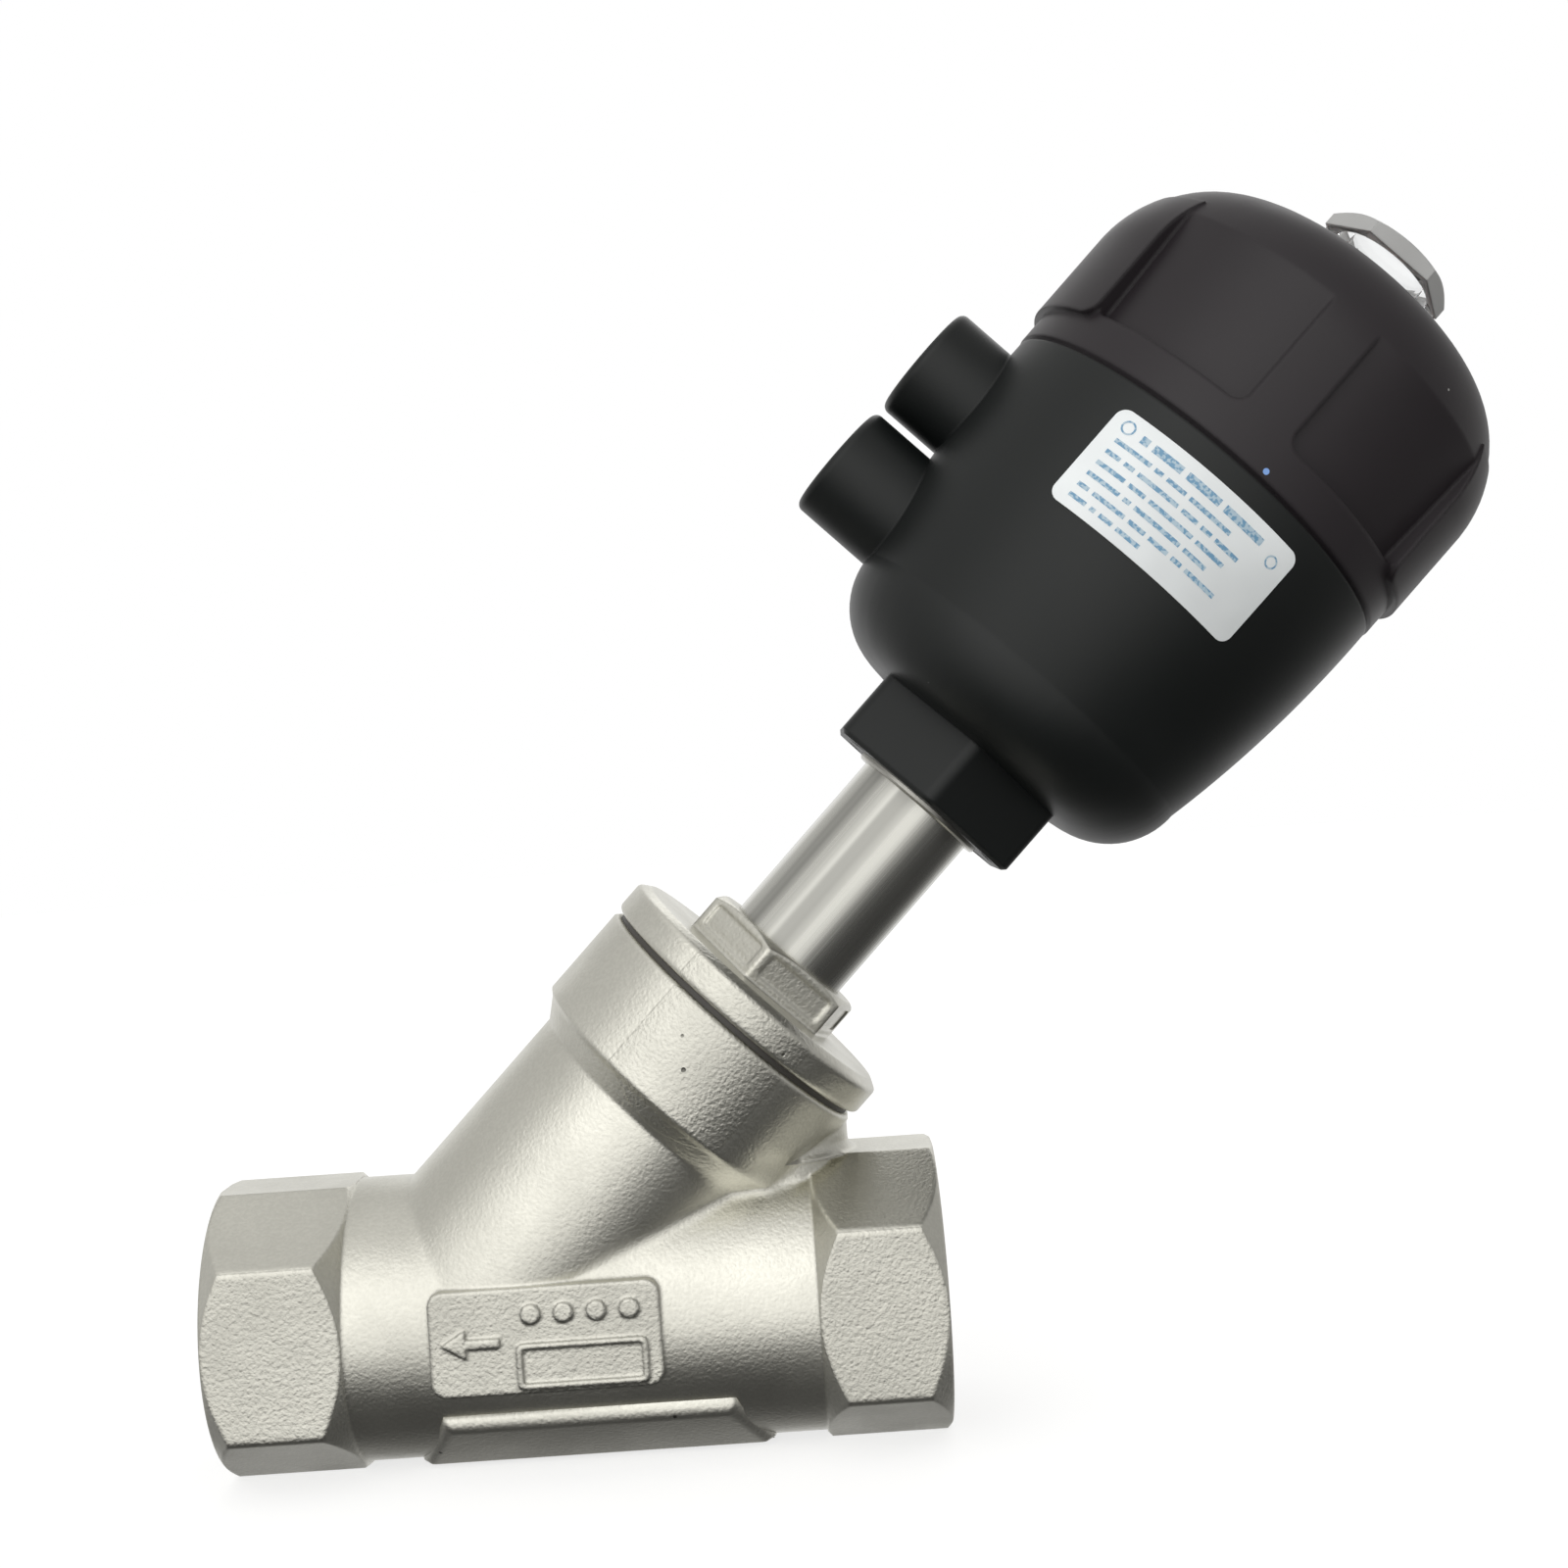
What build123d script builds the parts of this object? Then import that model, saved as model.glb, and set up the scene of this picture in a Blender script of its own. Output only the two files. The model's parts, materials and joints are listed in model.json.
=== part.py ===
"""Pneumatic angle seat valve: a cast Y-body with a piston actuator on a leaning stem.

The origin is the centre of the outlet port's end face. +X runs along the pipe to the inlet
port, +Z is up, and the stem leans from +Z towards the inlet, in the XZ plane. Pieces on the
stem are made about their own Z axis, with heights counted from where the stem axis meets
the pipe axis, and are then placed on the stem.
"""
from build123d import *
from math import cos, radians, sin
import os

# ---------------------------------------------------------------- driving dimensions (mm)
# Cast body
face_to_face = 128.0
stem_foot = 43.5                # outlet face to the crossing of the pipe and stem axes
stem_angle = 45.0               # degrees between the pipe axis and the stem axis
hex_across_flats = 51.0
outlet_collar_length = 24.2
inlet_collar_length = 22.2
collar_edge_radius = 1.6
pipe_radius = 25.0
passage_radius = 17.0
port_thread_radius = 20.955     # G 1 1/4, major diameter 41.91
port_thread_depth = 21.0
branch_radius = 24.5
branch_length = 48.8
branch_step = 3.8               # height of the cone between the branch and its collar
branch_collar_radius = 28.0
branch_collar_length = 18.7
branch_blend_radius = 3.0
gusset_radius = 13.6             # fills the notch between the branch and the inlet collar
gusset_set_back = 15.0           # gusset's reach to the body's inlet face
gusset_flare = 2.0
chamber_radius = 21.0
seat_height = 6.0
bridge_thickness = 5.0
orifice_radius = 15.5
seat_lip_width = 2.5
seat_lip_height = 1.5

# Raised plate and pad on the body's sides
plate_start = 39.3
plate_length = 39.5
plate_height = 18.0
plate_stand_off = 25.6          # plate face to the pipe axis
plate_corner_radius = 2.5
relief_height = 0.7
relief_rail = 1.0
relief_frame_length = 22.4
relief_frame_height = 7.8
relief_pip_radius = 1.7
arrow_length = 10.0
arrow_width = 5.0
pad_angle = 60.0
pad_stand_off = 25.2
pad_top_length = 43.6
pad_bottom_length = 62.0
pad_width = 11.0

# Bonnet and its tube
gasket_thickness = 1.0
gasket_inset = 1.2
spigot_radius = 23.5
spigot_length = 14.3
bonnet_flange_radius = 28.3
bonnet_flange_thickness = 6.6
bonnet_flange_rounding = 2.0
bonnet_hex_across_flats = 29.5
bonnet_hex_height = 7.6
bonnet_hex_turn = 18.0          # degrees, so that a corner faces a little left of the front
facet_panel_margin = 1.5         # sunk panel in each of the bonnet's flats
facet_panel_depth = 0.35
facet_panel_corner = 0.8
tube_radius = 11.75
tube_bore_radius = 8.25
tube_in_sight = 35.9              # between the bonnet's hexagon and the housing's
tube_engagement = 8.6            # tube's reach into the housing's hexagon
tube_lip_thickness = 2.5

# Packing in the tube, from its lower lip upwards
wiper_height = 3.0
bush_height = 12.0
support_height = 2.4
chevron_count = 4
chevron_height = 2.2
chevron_depth = 1.0
follower_height = 2.4
packing_spring_height = 15.0
packing_spring_wire = 0.9
packing_spring_turns = 5

# Moving stem
stroke = 13.0
spindle_radius = 5.0
spindle_nose_radius = 4.0
plug_rim_radius = 19.6
seal_radius = 18.5
seal_thickness = 3.0
seal_hold = 1.0                 # how far the plug's rim stays short of the seal's face
plug_disc_thickness = 4.0
plug_height = 13.5
plug_neck_radius = 8.5
washer_radius = 13.8
washer_thickness = 2.5
screw_head_across_flats = 13.0
screw_head_height = 4.5
screw_reach = 17.0

# Piston
piston_rest_gap = 15.0           # air space under the piston at rest
piston_height = 13.0
piston_web = 5.0
piston_hub_radius = 9.0
piston_rim_width = 4.4
piston_seal_height = 3.5
piston_seal_offset = 2.5
piston_seal_depth = 2.6
guide_ring_height = 2.6
guide_ring_offset = 9.0
guide_ring_depth = 1.4
piston_washer_thickness = 1.5
nut_across_flats = 13.0
nut_height = 6.0
indicator_rod_radius = 3.0
indicator_head_radius = 6.6
indicator_head_height = 5.0

# Actuator housing
hexagon_across_flats = 38.4
hexagon_height = 13.1
hexagon_corner_radius = 2.6
hexagon_edge_chamfer = 0.7
pocket_length = 5.6
pocket_width = 1.8
pocket_depth = 6.0
pocket_wall = 0.95                # plastic left between a pocket and its flat
bulb_length = 61.1               # from the hexagon to the seam under the cover
bulb_corner_radius = 14.5
rim_radius = 40.5                # housing at the seam; the radii below follow it
bulb_middle_taper = 1.0
bulb_lower_taper = 4.5
recess_wall = 5.0                # round the cover's spigot
spigot_wall = 4.0                # from the spigot's outside to the cylinder
cylinder_floor_thickness = 7.0
cover_recess_depth = 6.6
insert_radius = 15.0
insert_length = 13.6
insert_rim_radius = 13.4
insert_rim_height = 1.0
insert_shoulder = 2.6
rod_seal_section = 2.2
rod_seal_lift = 2.6              # rod seal above the insert
rod_bush_wall = 1.5

# Air ports
port_boss_radius = 11.1
port_boss_stand_off = 11.6       # past the rim
port_boss_rounding = 1.4
control_port_rise = 23.8         # lower air port above the hexagon
port_spacing = 23.7
air_thread_radius = 6.58        # G 1/4, major diameter 13.16
port_insert_radius = 9.0
port_insert_length = 12.0
port_insert_sink = 0.4
control_channel_radius = 2.0
vent_channel_radius = 1.6
channel_margin = 1.1

# Cover
cover_overhang = 0.2
seam_groove = 0.5
shoulder_radius = 19.0
cover_height = 44.9
crown_height = 0.8
cap_land_radius = 12.4
cover_wall = 5.7
crown_wall = 6.0                 # ceiling to the crown's face
band_height = 6.4               # plain band above the seam, up to the lugs
lug_stand_off = 1.3
lug_side_height = 16.5
lug_shoulder_height = 6.1
lug_shoulder_set_back = 0.7
lug_head_height = 5.4
lug_head_set_back = 2.9
lug_root = 3.0
lug_span = 72.0                 # degrees
lug_corner_radius = 3.0
window_rise = 7.6
window_height = 23.0
window_bottom_depth = 2.0
window_top_depth = 0.8
window_near_side = 7.0          # degrees from the front rib's middle
window_corner_radius = 2.6
cover_seal_section = 2.2

# Closing springs
outer_spring_radius = 19.5
outer_spring_wire = 2.0         # radius of the wire
outer_spring_turns = 7
inner_spring_radius = 12.6
inner_spring_wire = 1.5
inner_spring_turns = 9
spring_seat_thickness = 2.0
spring_seat_radius = 22.0

# Position indicator cap
cap_thread_radius = 9.6
cap_bore_radius = 7.6
cap_skirt_length = 6.3
cap_seal_height = 0.8
cap_across_flats = 22.0
cap_hex_height = 6.8
cap_collar_radius = 10.1
cap_band_height = 3.2
cap_band_lip = 0.5
cap_top_thickness = 1.2

# Label
label_height = 19.0
label_length = 38.6
label_drop = 13.6                # label's middle below the seam
label_corner_radius = 2.0
label_thickness = 0.25

# Fits
running_clearance = 0.05
assembly_clearance = 0.03
contact_gap = 0.05
swivel_gap = 0.3
BIG = 300.0

# ---------------------------------------------------------------- places on the stem
branch_top = branch_length + branch_step + branch_collar_length
flange_bottom = branch_top + gasket_thickness
flange_top = flange_bottom + bonnet_flange_thickness
bonnet_top = flange_top + bonnet_hex_height
spigot_bottom = branch_top - spigot_length
seat_top = seat_height + seat_lip_height
seal_bottom = seat_top + contact_gap
seal_top = seal_bottom + seal_thickness
plug_top = seal_top + plug_height
hexagon_bottom = bonnet_top + tube_in_sight
tube_top = hexagon_bottom + tube_engagement
bulb_bottom = hexagon_bottom + hexagon_height
insert_top = hexagon_bottom + insert_length
rod_seal_height = insert_top + rod_seal_lift
cylinder_floor = insert_top + cylinder_floor_thickness
piston_rest_height = cylinder_floor + piston_rest_gap
seam_height = bulb_bottom + bulb_length
bulb_middle_radius = rim_radius - bulb_middle_taper
bulb_lower_radius = rim_radius - bulb_lower_taper
cover_recess_radius = rim_radius - recess_wall
cylinder_radius = cover_recess_radius - spigot_wall
port_boss_reach = rim_radius + port_boss_stand_off
cover_side_radius = rim_radius + cover_overhang
cover_bore_radius = cover_side_radius - cover_wall
ceiling_corner_radius = cover_bore_radius - spring_seat_radius
label_middle = seam_height - label_drop
control_port_height = bulb_bottom + control_port_rise
cover_top = seam_height + cover_height
ceiling_height = cover_top + crown_height - crown_wall
lug_bottom = seam_height + band_height
lug_side_top = lug_bottom + lug_side_height
lug_shoulder_top = lug_side_top + lug_shoulder_height
lug_top = lug_shoulder_top + lug_head_height
lug_radius = cover_side_radius + lug_stand_off
window_bottom = seam_height + window_rise
window_top = window_bottom + window_height
wiper_bottom = spigot_bottom + tube_lip_thickness
bush_bottom = wiper_bottom + wiper_height
support_bottom = bush_bottom + bush_height
chevrons_bottom = support_bottom + support_height
follower_bottom = chevrons_bottom + chevron_count * chevron_height
packing_spring_bottom = follower_bottom + follower_height
gland_bottom = packing_spring_bottom + packing_spring_height
piston_rest_top = piston_rest_height + piston_height
web_top = piston_rest_height + piston_web
spring_bottom = web_top + contact_gap
seat_plate_bottom = ceiling_height - spring_seat_thickness
nut_bottom = piston_rest_top + piston_washer_thickness
nut_top = nut_bottom + nut_height
cover_land = cover_top + crown_height
cap_hex_bottom = cover_land + cap_seal_height
cap_hex_top = cap_hex_bottom + cap_hex_height
cap_top = cap_hex_top + cap_band_height
cap_ceiling = cap_top - cap_top_thickness
indicator_head_top = cap_ceiling - stroke - contact_gap * 4
vent_port_height = control_port_height + port_spacing
piston_radius = cylinder_radius - 2 * running_clearance
collar_corner_radius = hex_across_flats / 2 / cos(radians(30))
collar_face_radius = hex_across_flats / 2 - 0.2

STEM = Plane(
    origin=(stem_foot, 0, 0),
    x_dir=(sin(radians(stem_angle)), 0, -cos(radians(stem_angle))),
    z_dir=(cos(radians(stem_angle)), 0, sin(radians(stem_angle))),
)
pieces = {}


# ---------------------------------------------------------------- shared shapes
def outline(*points):
    """Closed face through points given as (radius, height) or (x, radius)."""
    return make_face(Polyline(*points, close=True))


def turned(*points):
    """Solid of revolution about Z, from (radius, height) corners."""
    return revolve(Plane.XZ * outline(*points), Axis.Z)


def turned_on_pipe(*points):
    """Solid of revolution about X, from (x, radius) corners."""
    return revolve(Plane.XZ * outline(*points), Axis.X)


def sleeve(inner, outer, bottom, top):
    """Plain ring about Z."""
    return turned((inner, bottom), (outer, bottom), (outer, top), (inner, top))


def rod(radius, bottom, top):
    """Plain cylinder about Z."""
    return Pos(0, 0, bottom) * Cylinder(
        radius, top - bottom, align=(Align.CENTER, Align.CENTER, Align.MIN)
    )


def hexagon(across_flats, bottom, top, turn=0.0):
    """Hexagonal prism about Z; turn 0 puts a flat to the front and back."""
    face = RegularPolygon(across_flats / 2, 6, major_radius=False, rotation=turn)
    return extrude(Plane.XY.offset(bottom) * face, amount=top - bottom)


def cone_trim(across_flats, bottom, top, slope=0.5):
    """Turned envelope that takes the top corners off a hexagon."""
    flat = across_flats / 2
    corner = flat / cos(radians(30)) + 1
    drop = (corner - flat) * slope
    return turned((0, bottom), (corner, bottom), (corner, top - drop), (flat, top), (0, top))


def o_ring(middle_radius, section, height):
    """Ring of round section about Z."""
    return Pos(0, 0, height) * Torus(middle_radius, section / 2)


def compression_spring(middle_radius, wire_radius, bottom, top, turns):
    """Helical spring whose wire just fits between two levels, joined turn by turn."""
    pitch = (top - bottom - 2 * wire_radius) / turns
    path = Helix(pitch=pitch, height=pitch, radius=middle_radius)
    turn = sweep(Plane(origin=path @ 0, z_dir=path % 0) * Circle(wire_radius), path=path)
    coil = turn
    for k in range(1, turns):
        coil += Pos(0, 0, k * pitch) * turn
    return Pos(0, 0, bottom + wire_radius) * coil


def front_and_back(solid):
    """A shape and its mirror image behind the stem's plane."""
    return solid + mirror(solid, Plane.XZ)


# ---------------------------------------------------------------- cast body
def hex_collar(start, length):
    """Threaded end: a hexagon with turned chamfers, trimmed level with the pipe."""
    face = RegularPolygon(hex_across_flats / 2, 6, major_radius=False, rotation=30)
    bar = extrude(Plane.YZ.offset(start) * face, amount=length)
    bar = fillet(bar.edges().filter_by(Axis.X), collar_edge_radius)
    chamfer_length = collar_corner_radius - collar_face_radius
    envelope = turned_on_pipe(
        (start, 0),
        (start, collar_face_radius),
        (start + chamfer_length, collar_corner_radius),
        (start + length - chamfer_length, collar_corner_radius),
        (start + length, collar_face_radius),
        (start + length, 0),
    )
    level = Pos(start + length / 2, 0, 0) * Box(length, BIG, 2 * pipe_radius)
    return bar & envelope & level


def port_bore(face, inward):
    """Threaded bore from an end face, as a cutter; inward is +1 or -1 along X."""
    run_out = face + inward * (port_thread_depth + port_thread_radius - passage_radius)
    return turned_on_pipe(
        (face - inward, 0),
        (face - inward, port_thread_radius),
        (face + inward * port_thread_depth, port_thread_radius),
        (run_out, passage_radius),
        (run_out, 0),
    )


def beyond(height, upwards):
    """Half-space above or below a level on the stem."""
    side = Align.MIN if upwards else Align.MAX
    block = Box(BIG, BIG, BIG, align=(Align.CENTER, Align.CENTER, side))
    return STEM.location * Pos(0, 0, height) * block


def pipe_passage(start, end):
    """Plain bore along the pipe."""
    return turned_on_pipe((start, 0), (start, passage_radius), (end, passage_radius), (end, 0))


def side_plate():
    """Raised plate on the front of the pipe."""
    middle = plate_start + plate_length / 2
    face = RectangleRounded(plate_length, plate_height, plate_corner_radius)
    front = Plane(origin=(middle, -plate_stand_off, 0), x_dir=(1, 0, 0), z_dir=(0, -1, 0))
    return extrude(front * face, amount=-plate_stand_off / 2)


def flow_arrow():
    """Raised arrow that points to the outlet."""
    tip = plate_start + 2.0
    half = arrow_width / 2
    shaft = arrow_width / 6
    neck = tip + arrow_length * 0.42
    tail = tip + arrow_length
    face = outline(
        (tip, 0), (neck, half), (neck, shaft), (tail, shaft),
        (tail, -shaft), (neck, -shaft), (neck, -half),
    )
    front = Plane(origin=(0, -plate_stand_off, 0), x_dir=(1, 0, 0), z_dir=(0, -1, 0))
    return extrude(front * face, amount=relief_height)


def plate_relief():
    """Plain raised frame and a row of pips where a casting carries its size marks."""
    wide, high, rail = relief_frame_length, relief_frame_height, relief_rail
    middle = plate_start + plate_length - 2.4 - wide / 2
    front = Plane(origin=(middle, -plate_stand_off, 0), x_dir=(1, 0, 0), z_dir=(0, -1, 0))
    outer = RectangleRounded(wide, high, 1.2)
    inner = RectangleRounded(wide - 2 * rail, high - 2 * rail, 0.5)
    rim = Pos(0, -plate_height * 0.24) * (outer - inner)
    pips = [
        Pos((k - 1.5) * wide / 4, plate_height * 0.25) * Circle(relief_pip_radius)
        for k in range(4)
    ]
    return extrude(front * (rim + pips), amount=relief_height)


def lower_pad():
    """Flat slanting pad low on the front of the pipe, wider at its lower edge."""
    middle = stem_foot + pad_top_length / 2
    normal = (0, -cos(radians(pad_angle)), -sin(radians(pad_angle)))
    origin = (middle, normal[1] * pad_stand_off, normal[2] * pad_stand_off)
    slope = Plane(origin=origin, x_dir=(1, 0, 0), z_dir=normal)
    top = pad_top_length / 2
    low = pad_bottom_length / 2
    face = outline(
        (-top, pad_width / 2), (top, pad_width / 2), (low, -pad_width / 2), (-low, -pad_width / 2)
    )
    return extrude(slope * face, amount=-pad_stand_off / 3)


def inlet_gusset():
    """Upright fill between the branch's collar and the inlet hexagon, flared at its foot."""
    top = (branch_top - branch_collar_radius) * sin(radians(stem_angle)) - 0.5
    foot = pipe_radius - 0.1
    flare = gusset_flare * (1 - cos(radians(45)))
    edge = ThreePointArc(
        (gusset_radius + gusset_flare, foot),
        (gusset_radius + flare, foot + flare),
        (gusset_radius, foot + gusset_flare),
    )
    low = foot - gusset_flare * 4
    sides = Polyline(
        (gusset_radius, foot + gusset_flare), (gusset_radius, top), (0, top), (0, low),
        (gusset_radius, low), (gusset_radius, foot), (gusset_radius + gusset_flare, foot),
    )
    post = revolve(Plane.XZ * make_face([edge, sides]), Axis.Z)
    return Pos(face_to_face - gusset_set_back - gusset_radius, 0, 0) * post


def make_valve_body():
    pipe = turned_on_pipe(
        (1, 0), (1, pipe_radius), (face_to_face - 1, pipe_radius), (face_to_face - 1, 0)
    )
    collar_start = branch_length + branch_step
    branch = STEM.location * rod(branch_radius, 0, branch_length + 1)
    body = pipe + branch
    neck = STEM.location * turned(
        (0, branch_length),
        (branch_radius, branch_length),
        (branch_collar_radius - 1, collar_start),
        (branch_collar_radius, collar_start + 1),
        (branch_collar_radius, branch_top - 0.6),
        (branch_collar_radius - 0.6, branch_top),
        (0, branch_top),
    )
    body += neck
    body += hex_collar(0, outlet_collar_length)
    body += hex_collar(face_to_face - inlet_collar_length, inlet_collar_length)
    body += inlet_gusset()
    body += front_and_back(side_plate())
    body += front_and_back(lower_pad())
    body += flow_arrow() + plate_relief()

    body -= port_bore(0, 1)
    body -= port_bore(face_to_face, -1)
    outlet_way = pipe_passage(port_thread_depth, stem_foot + chamber_radius * 2)
    body -= outlet_way - beyond(seat_height - bridge_thickness, True)
    inlet_way = pipe_passage(stem_foot - chamber_radius, face_to_face - port_thread_depth)
    body -= inlet_way - beyond(seat_height, False)
    body -= STEM.location * rod(orifice_radius, seat_height - bridge_thickness - 2, seat_height + 1)
    body -= STEM.location * rod(chamber_radius, seat_height, branch_top + 1)
    body -= STEM.location * rod(spigot_radius, spigot_bottom - 1, branch_top + 1)
    lip = sleeve(
        orifice_radius, orifice_radius + seat_lip_width, seat_height - 0.5, seat_top
    )
    return body + STEM.location * lip


# ---------------------------------------------------------------- bonnet, tube and packing
def make_bonnet():
    r = bonnet_flange_rounding
    disc = turned(
        (0, spigot_bottom),
        (spigot_radius - assembly_clearance, spigot_bottom),
        (spigot_radius - assembly_clearance, flange_bottom),
        (bonnet_flange_radius, flange_bottom),
        (bonnet_flange_radius, flange_top - r * 0.6),
        (bonnet_flange_radius - r, flange_top),
        (0, flange_top),
    )
    rim = disc.edges().filter_by(GeomType.CIRCLE).group_by(SortBy.RADIUS)[-1]
    disc = fillet(rim, r * 0.5)
    nut = hexagon(bonnet_hex_across_flats, flange_top - 1, bonnet_top, bonnet_hex_turn)
    nut &= cone_trim(bonnet_hex_across_flats, flange_top - 1, bonnet_top)
    reach = bonnet_hex_across_flats / 2
    face = RectangleRounded(
        reach * 2 / cos(radians(30)) / 2 - 2 * facet_panel_margin,
        bonnet_hex_height - 2 * facet_panel_margin,
        facet_panel_corner,
    )
    level = flange_top + bonnet_hex_height / 2
    for side in range(6):
        front = Plane(origin=(reach, 0, level), x_dir=(0, 1, 0), z_dir=(1, 0, 0))
        panel = extrude(front * face, amount=-facet_panel_depth)
        nut -= Rot(0, 0, bonnet_hex_turn + 30 + 60 * side) * panel
    body = disc + nut
    return body - rod(tube_radius + assembly_clearance, spigot_bottom - 1, bonnet_top + 1)


def make_bonnet_tube():
    wall = sleeve(tube_bore_radius, tube_radius, spigot_bottom, tube_top)
    lip = sleeve(
        spindle_radius + swivel_gap, tube_radius, spigot_bottom, spigot_bottom + tube_lip_thickness
    )
    edge = wall.edges().filter_by(GeomType.CIRCLE).group_by(Axis.Z)[-1]
    return chamfer(edge.group_by(SortBy.RADIUS)[-1], 0.6) + lip


def packing_outer():
    return tube_bore_radius - assembly_clearance


def packing_inner():
    return spindle_radius + running_clearance


def packing_ring(bottom, top, bottom_vee, top_vee):
    """Ring round the spindle, with a raised V round its lower or upper face."""
    inner, outer = packing_inner(), packing_outer()
    middle = (inner + outer) / 2
    return turned(
        (inner, bottom), (middle, bottom + bottom_vee), (outer, bottom),
        (outer, top), (middle, top + top_vee), (inner, top),
    )


def make_chevrons():
    """Nested V-section rings, each a separate solid."""
    rings = []
    for k in range(chevron_count):
        low = chevrons_bottom + k * chevron_height + contact_gap / 2
        high = low + chevron_height - contact_gap
        rings.append(packing_ring(low, high, chevron_depth, chevron_depth))
    return Compound(rings)


def make_packing():
    inner, outer = packing_inner(), packing_outer()
    pieces["stem_wiper"] = sleeve(inner, outer, wiper_bottom, bush_bottom)
    pieces["guide_bush"] = sleeve(inner, outer, bush_bottom, support_bottom)
    pieces["packing_support"] = packing_ring(support_bottom, chevrons_bottom, 0, chevron_depth)
    pieces["packing_rings"] = make_chevrons()
    pieces["packing_follower"] = packing_ring(
        follower_bottom, packing_spring_bottom, chevron_depth, 0
    )
    pieces["packing_spring"] = compression_spring(
        (inner + outer) / 2, packing_spring_wire, packing_spring_bottom, gland_bottom,
        packing_spring_turns,
    )
    pieces["gland_sleeve"] = sleeve(inner, outer, gland_bottom, tube_top - 1)


# ---------------------------------------------------------------- moving stem
def make_plug():
    return turned(
        (spindle_nose_radius, seal_top),
        (seal_radius, seal_top),
        (seal_radius, seal_bottom + seal_hold),
        (plug_rim_radius, seal_bottom + seal_hold),
        (plug_rim_radius, seal_top + plug_disc_thickness),
        (plug_neck_radius + 1.5, seal_top + plug_disc_thickness + 3),
        (plug_neck_radius, plug_top),
        (spindle_radius, plug_top),
        (spindle_radius, seal_top + 1.5),
        (spindle_nose_radius, seal_top + 1.5),
    )


def make_seal_screw():
    head_top = seal_bottom - washer_thickness
    head_bottom = head_top - screw_head_height
    head = hexagon(screw_head_across_flats, head_bottom, head_top)
    shank = rod(spindle_nose_radius - assembly_clearance, head_top - 1, head_top + screw_reach)
    return head + shank


def make_spindle():
    top = nut_top + 2
    tip = piston_rest_height + 2
    screw_end = seal_bottom - washer_thickness + screw_reach
    spindle = rod(spindle_radius, seal_top + 1.5, tip) + rod(spindle_nose_radius, tip, top)
    return spindle - rod(spindle_nose_radius, seal_top, screw_end + 1)


def piston_groove(offset, height, depth):
    """Groove round the piston's rim, as a cutter."""
    low = piston_rest_height + offset
    return sleeve(piston_radius - depth, piston_radius + 2, low, low + height)


def make_piston():
    low, high = piston_rest_height, piston_rest_top
    rim_inner = piston_radius - piston_rim_width
    tip = low + 2
    disc = turned(
        (spindle_radius + assembly_clearance, low),
        (piston_radius - 1, low),
        (piston_radius, low + 1),
        (piston_radius, high),
        (rim_inner, high),
        (rim_inner, web_top),
        (piston_hub_radius, web_top),
        (piston_hub_radius, high),
        (spindle_nose_radius + assembly_clearance, high),
        (spindle_nose_radius + assembly_clearance, tip),
        (spindle_radius + assembly_clearance, tip),
    )
    disc -= piston_groove(piston_seal_offset, piston_seal_height, piston_seal_depth)
    return disc - piston_groove(guide_ring_offset, guide_ring_height, guide_ring_depth)


def make_piston_seal():
    """Lip seal: a ring whose lower edge flares to the cylinder wall."""
    low = piston_rest_height + piston_seal_offset
    high = low + piston_seal_height
    inner = piston_radius - piston_seal_depth
    outer = cylinder_radius - running_clearance
    return turned(
        (inner, low), (inner + 0.9, low), (inner + 1.3, low + 1.2), (outer - 0.6, low),
        (outer, low + 0.4), (outer - 0.4, high), (inner, high),
    )


def make_indicator():
    head_bottom = indicator_head_top - indicator_head_height
    shaft_bottom = nut_top + 2
    head = turned(
        (0, head_bottom), (indicator_head_radius, head_bottom),
        (indicator_head_radius, indicator_head_top - 0.8),
        (indicator_head_radius - 0.8, indicator_head_top), (0, indicator_head_top),
    )
    return rod(indicator_rod_radius, shaft_bottom, head_bottom + 1) + head


def make_stem():
    pieces["spindle"] = make_spindle()
    pieces["plug"] = make_plug()
    pieces["seat_seal"] = sleeve(
        spindle_nose_radius + assembly_clearance, seal_radius - assembly_clearance,
        seal_bottom, seal_top,
    )
    pieces["seal_washer"] = sleeve(
        spindle_nose_radius + assembly_clearance, washer_radius,
        seal_bottom - washer_thickness, seal_bottom,
    )
    pieces["seal_screw"] = make_seal_screw()
    pieces["piston"] = make_piston()
    pieces["piston_seal"] = make_piston_seal()
    ring_low = piston_rest_height + guide_ring_offset
    pieces["piston_guide_ring"] = sleeve(
        piston_radius - guide_ring_depth, cylinder_radius - running_clearance,
        ring_low + contact_gap, ring_low + guide_ring_height - contact_gap,
    )
    bore = spindle_nose_radius + assembly_clearance
    pieces["piston_washer"] = sleeve(bore, piston_hub_radius, piston_rest_top, nut_bottom)
    nut = hexagon(nut_across_flats, nut_bottom, nut_top) & cone_trim(
        nut_across_flats, nut_bottom, nut_top
    )
    pieces["piston_nut"] = nut - rod(bore, nut_bottom - 1, nut_top + 1)
    pieces["position_indicator"] = make_indicator()


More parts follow.
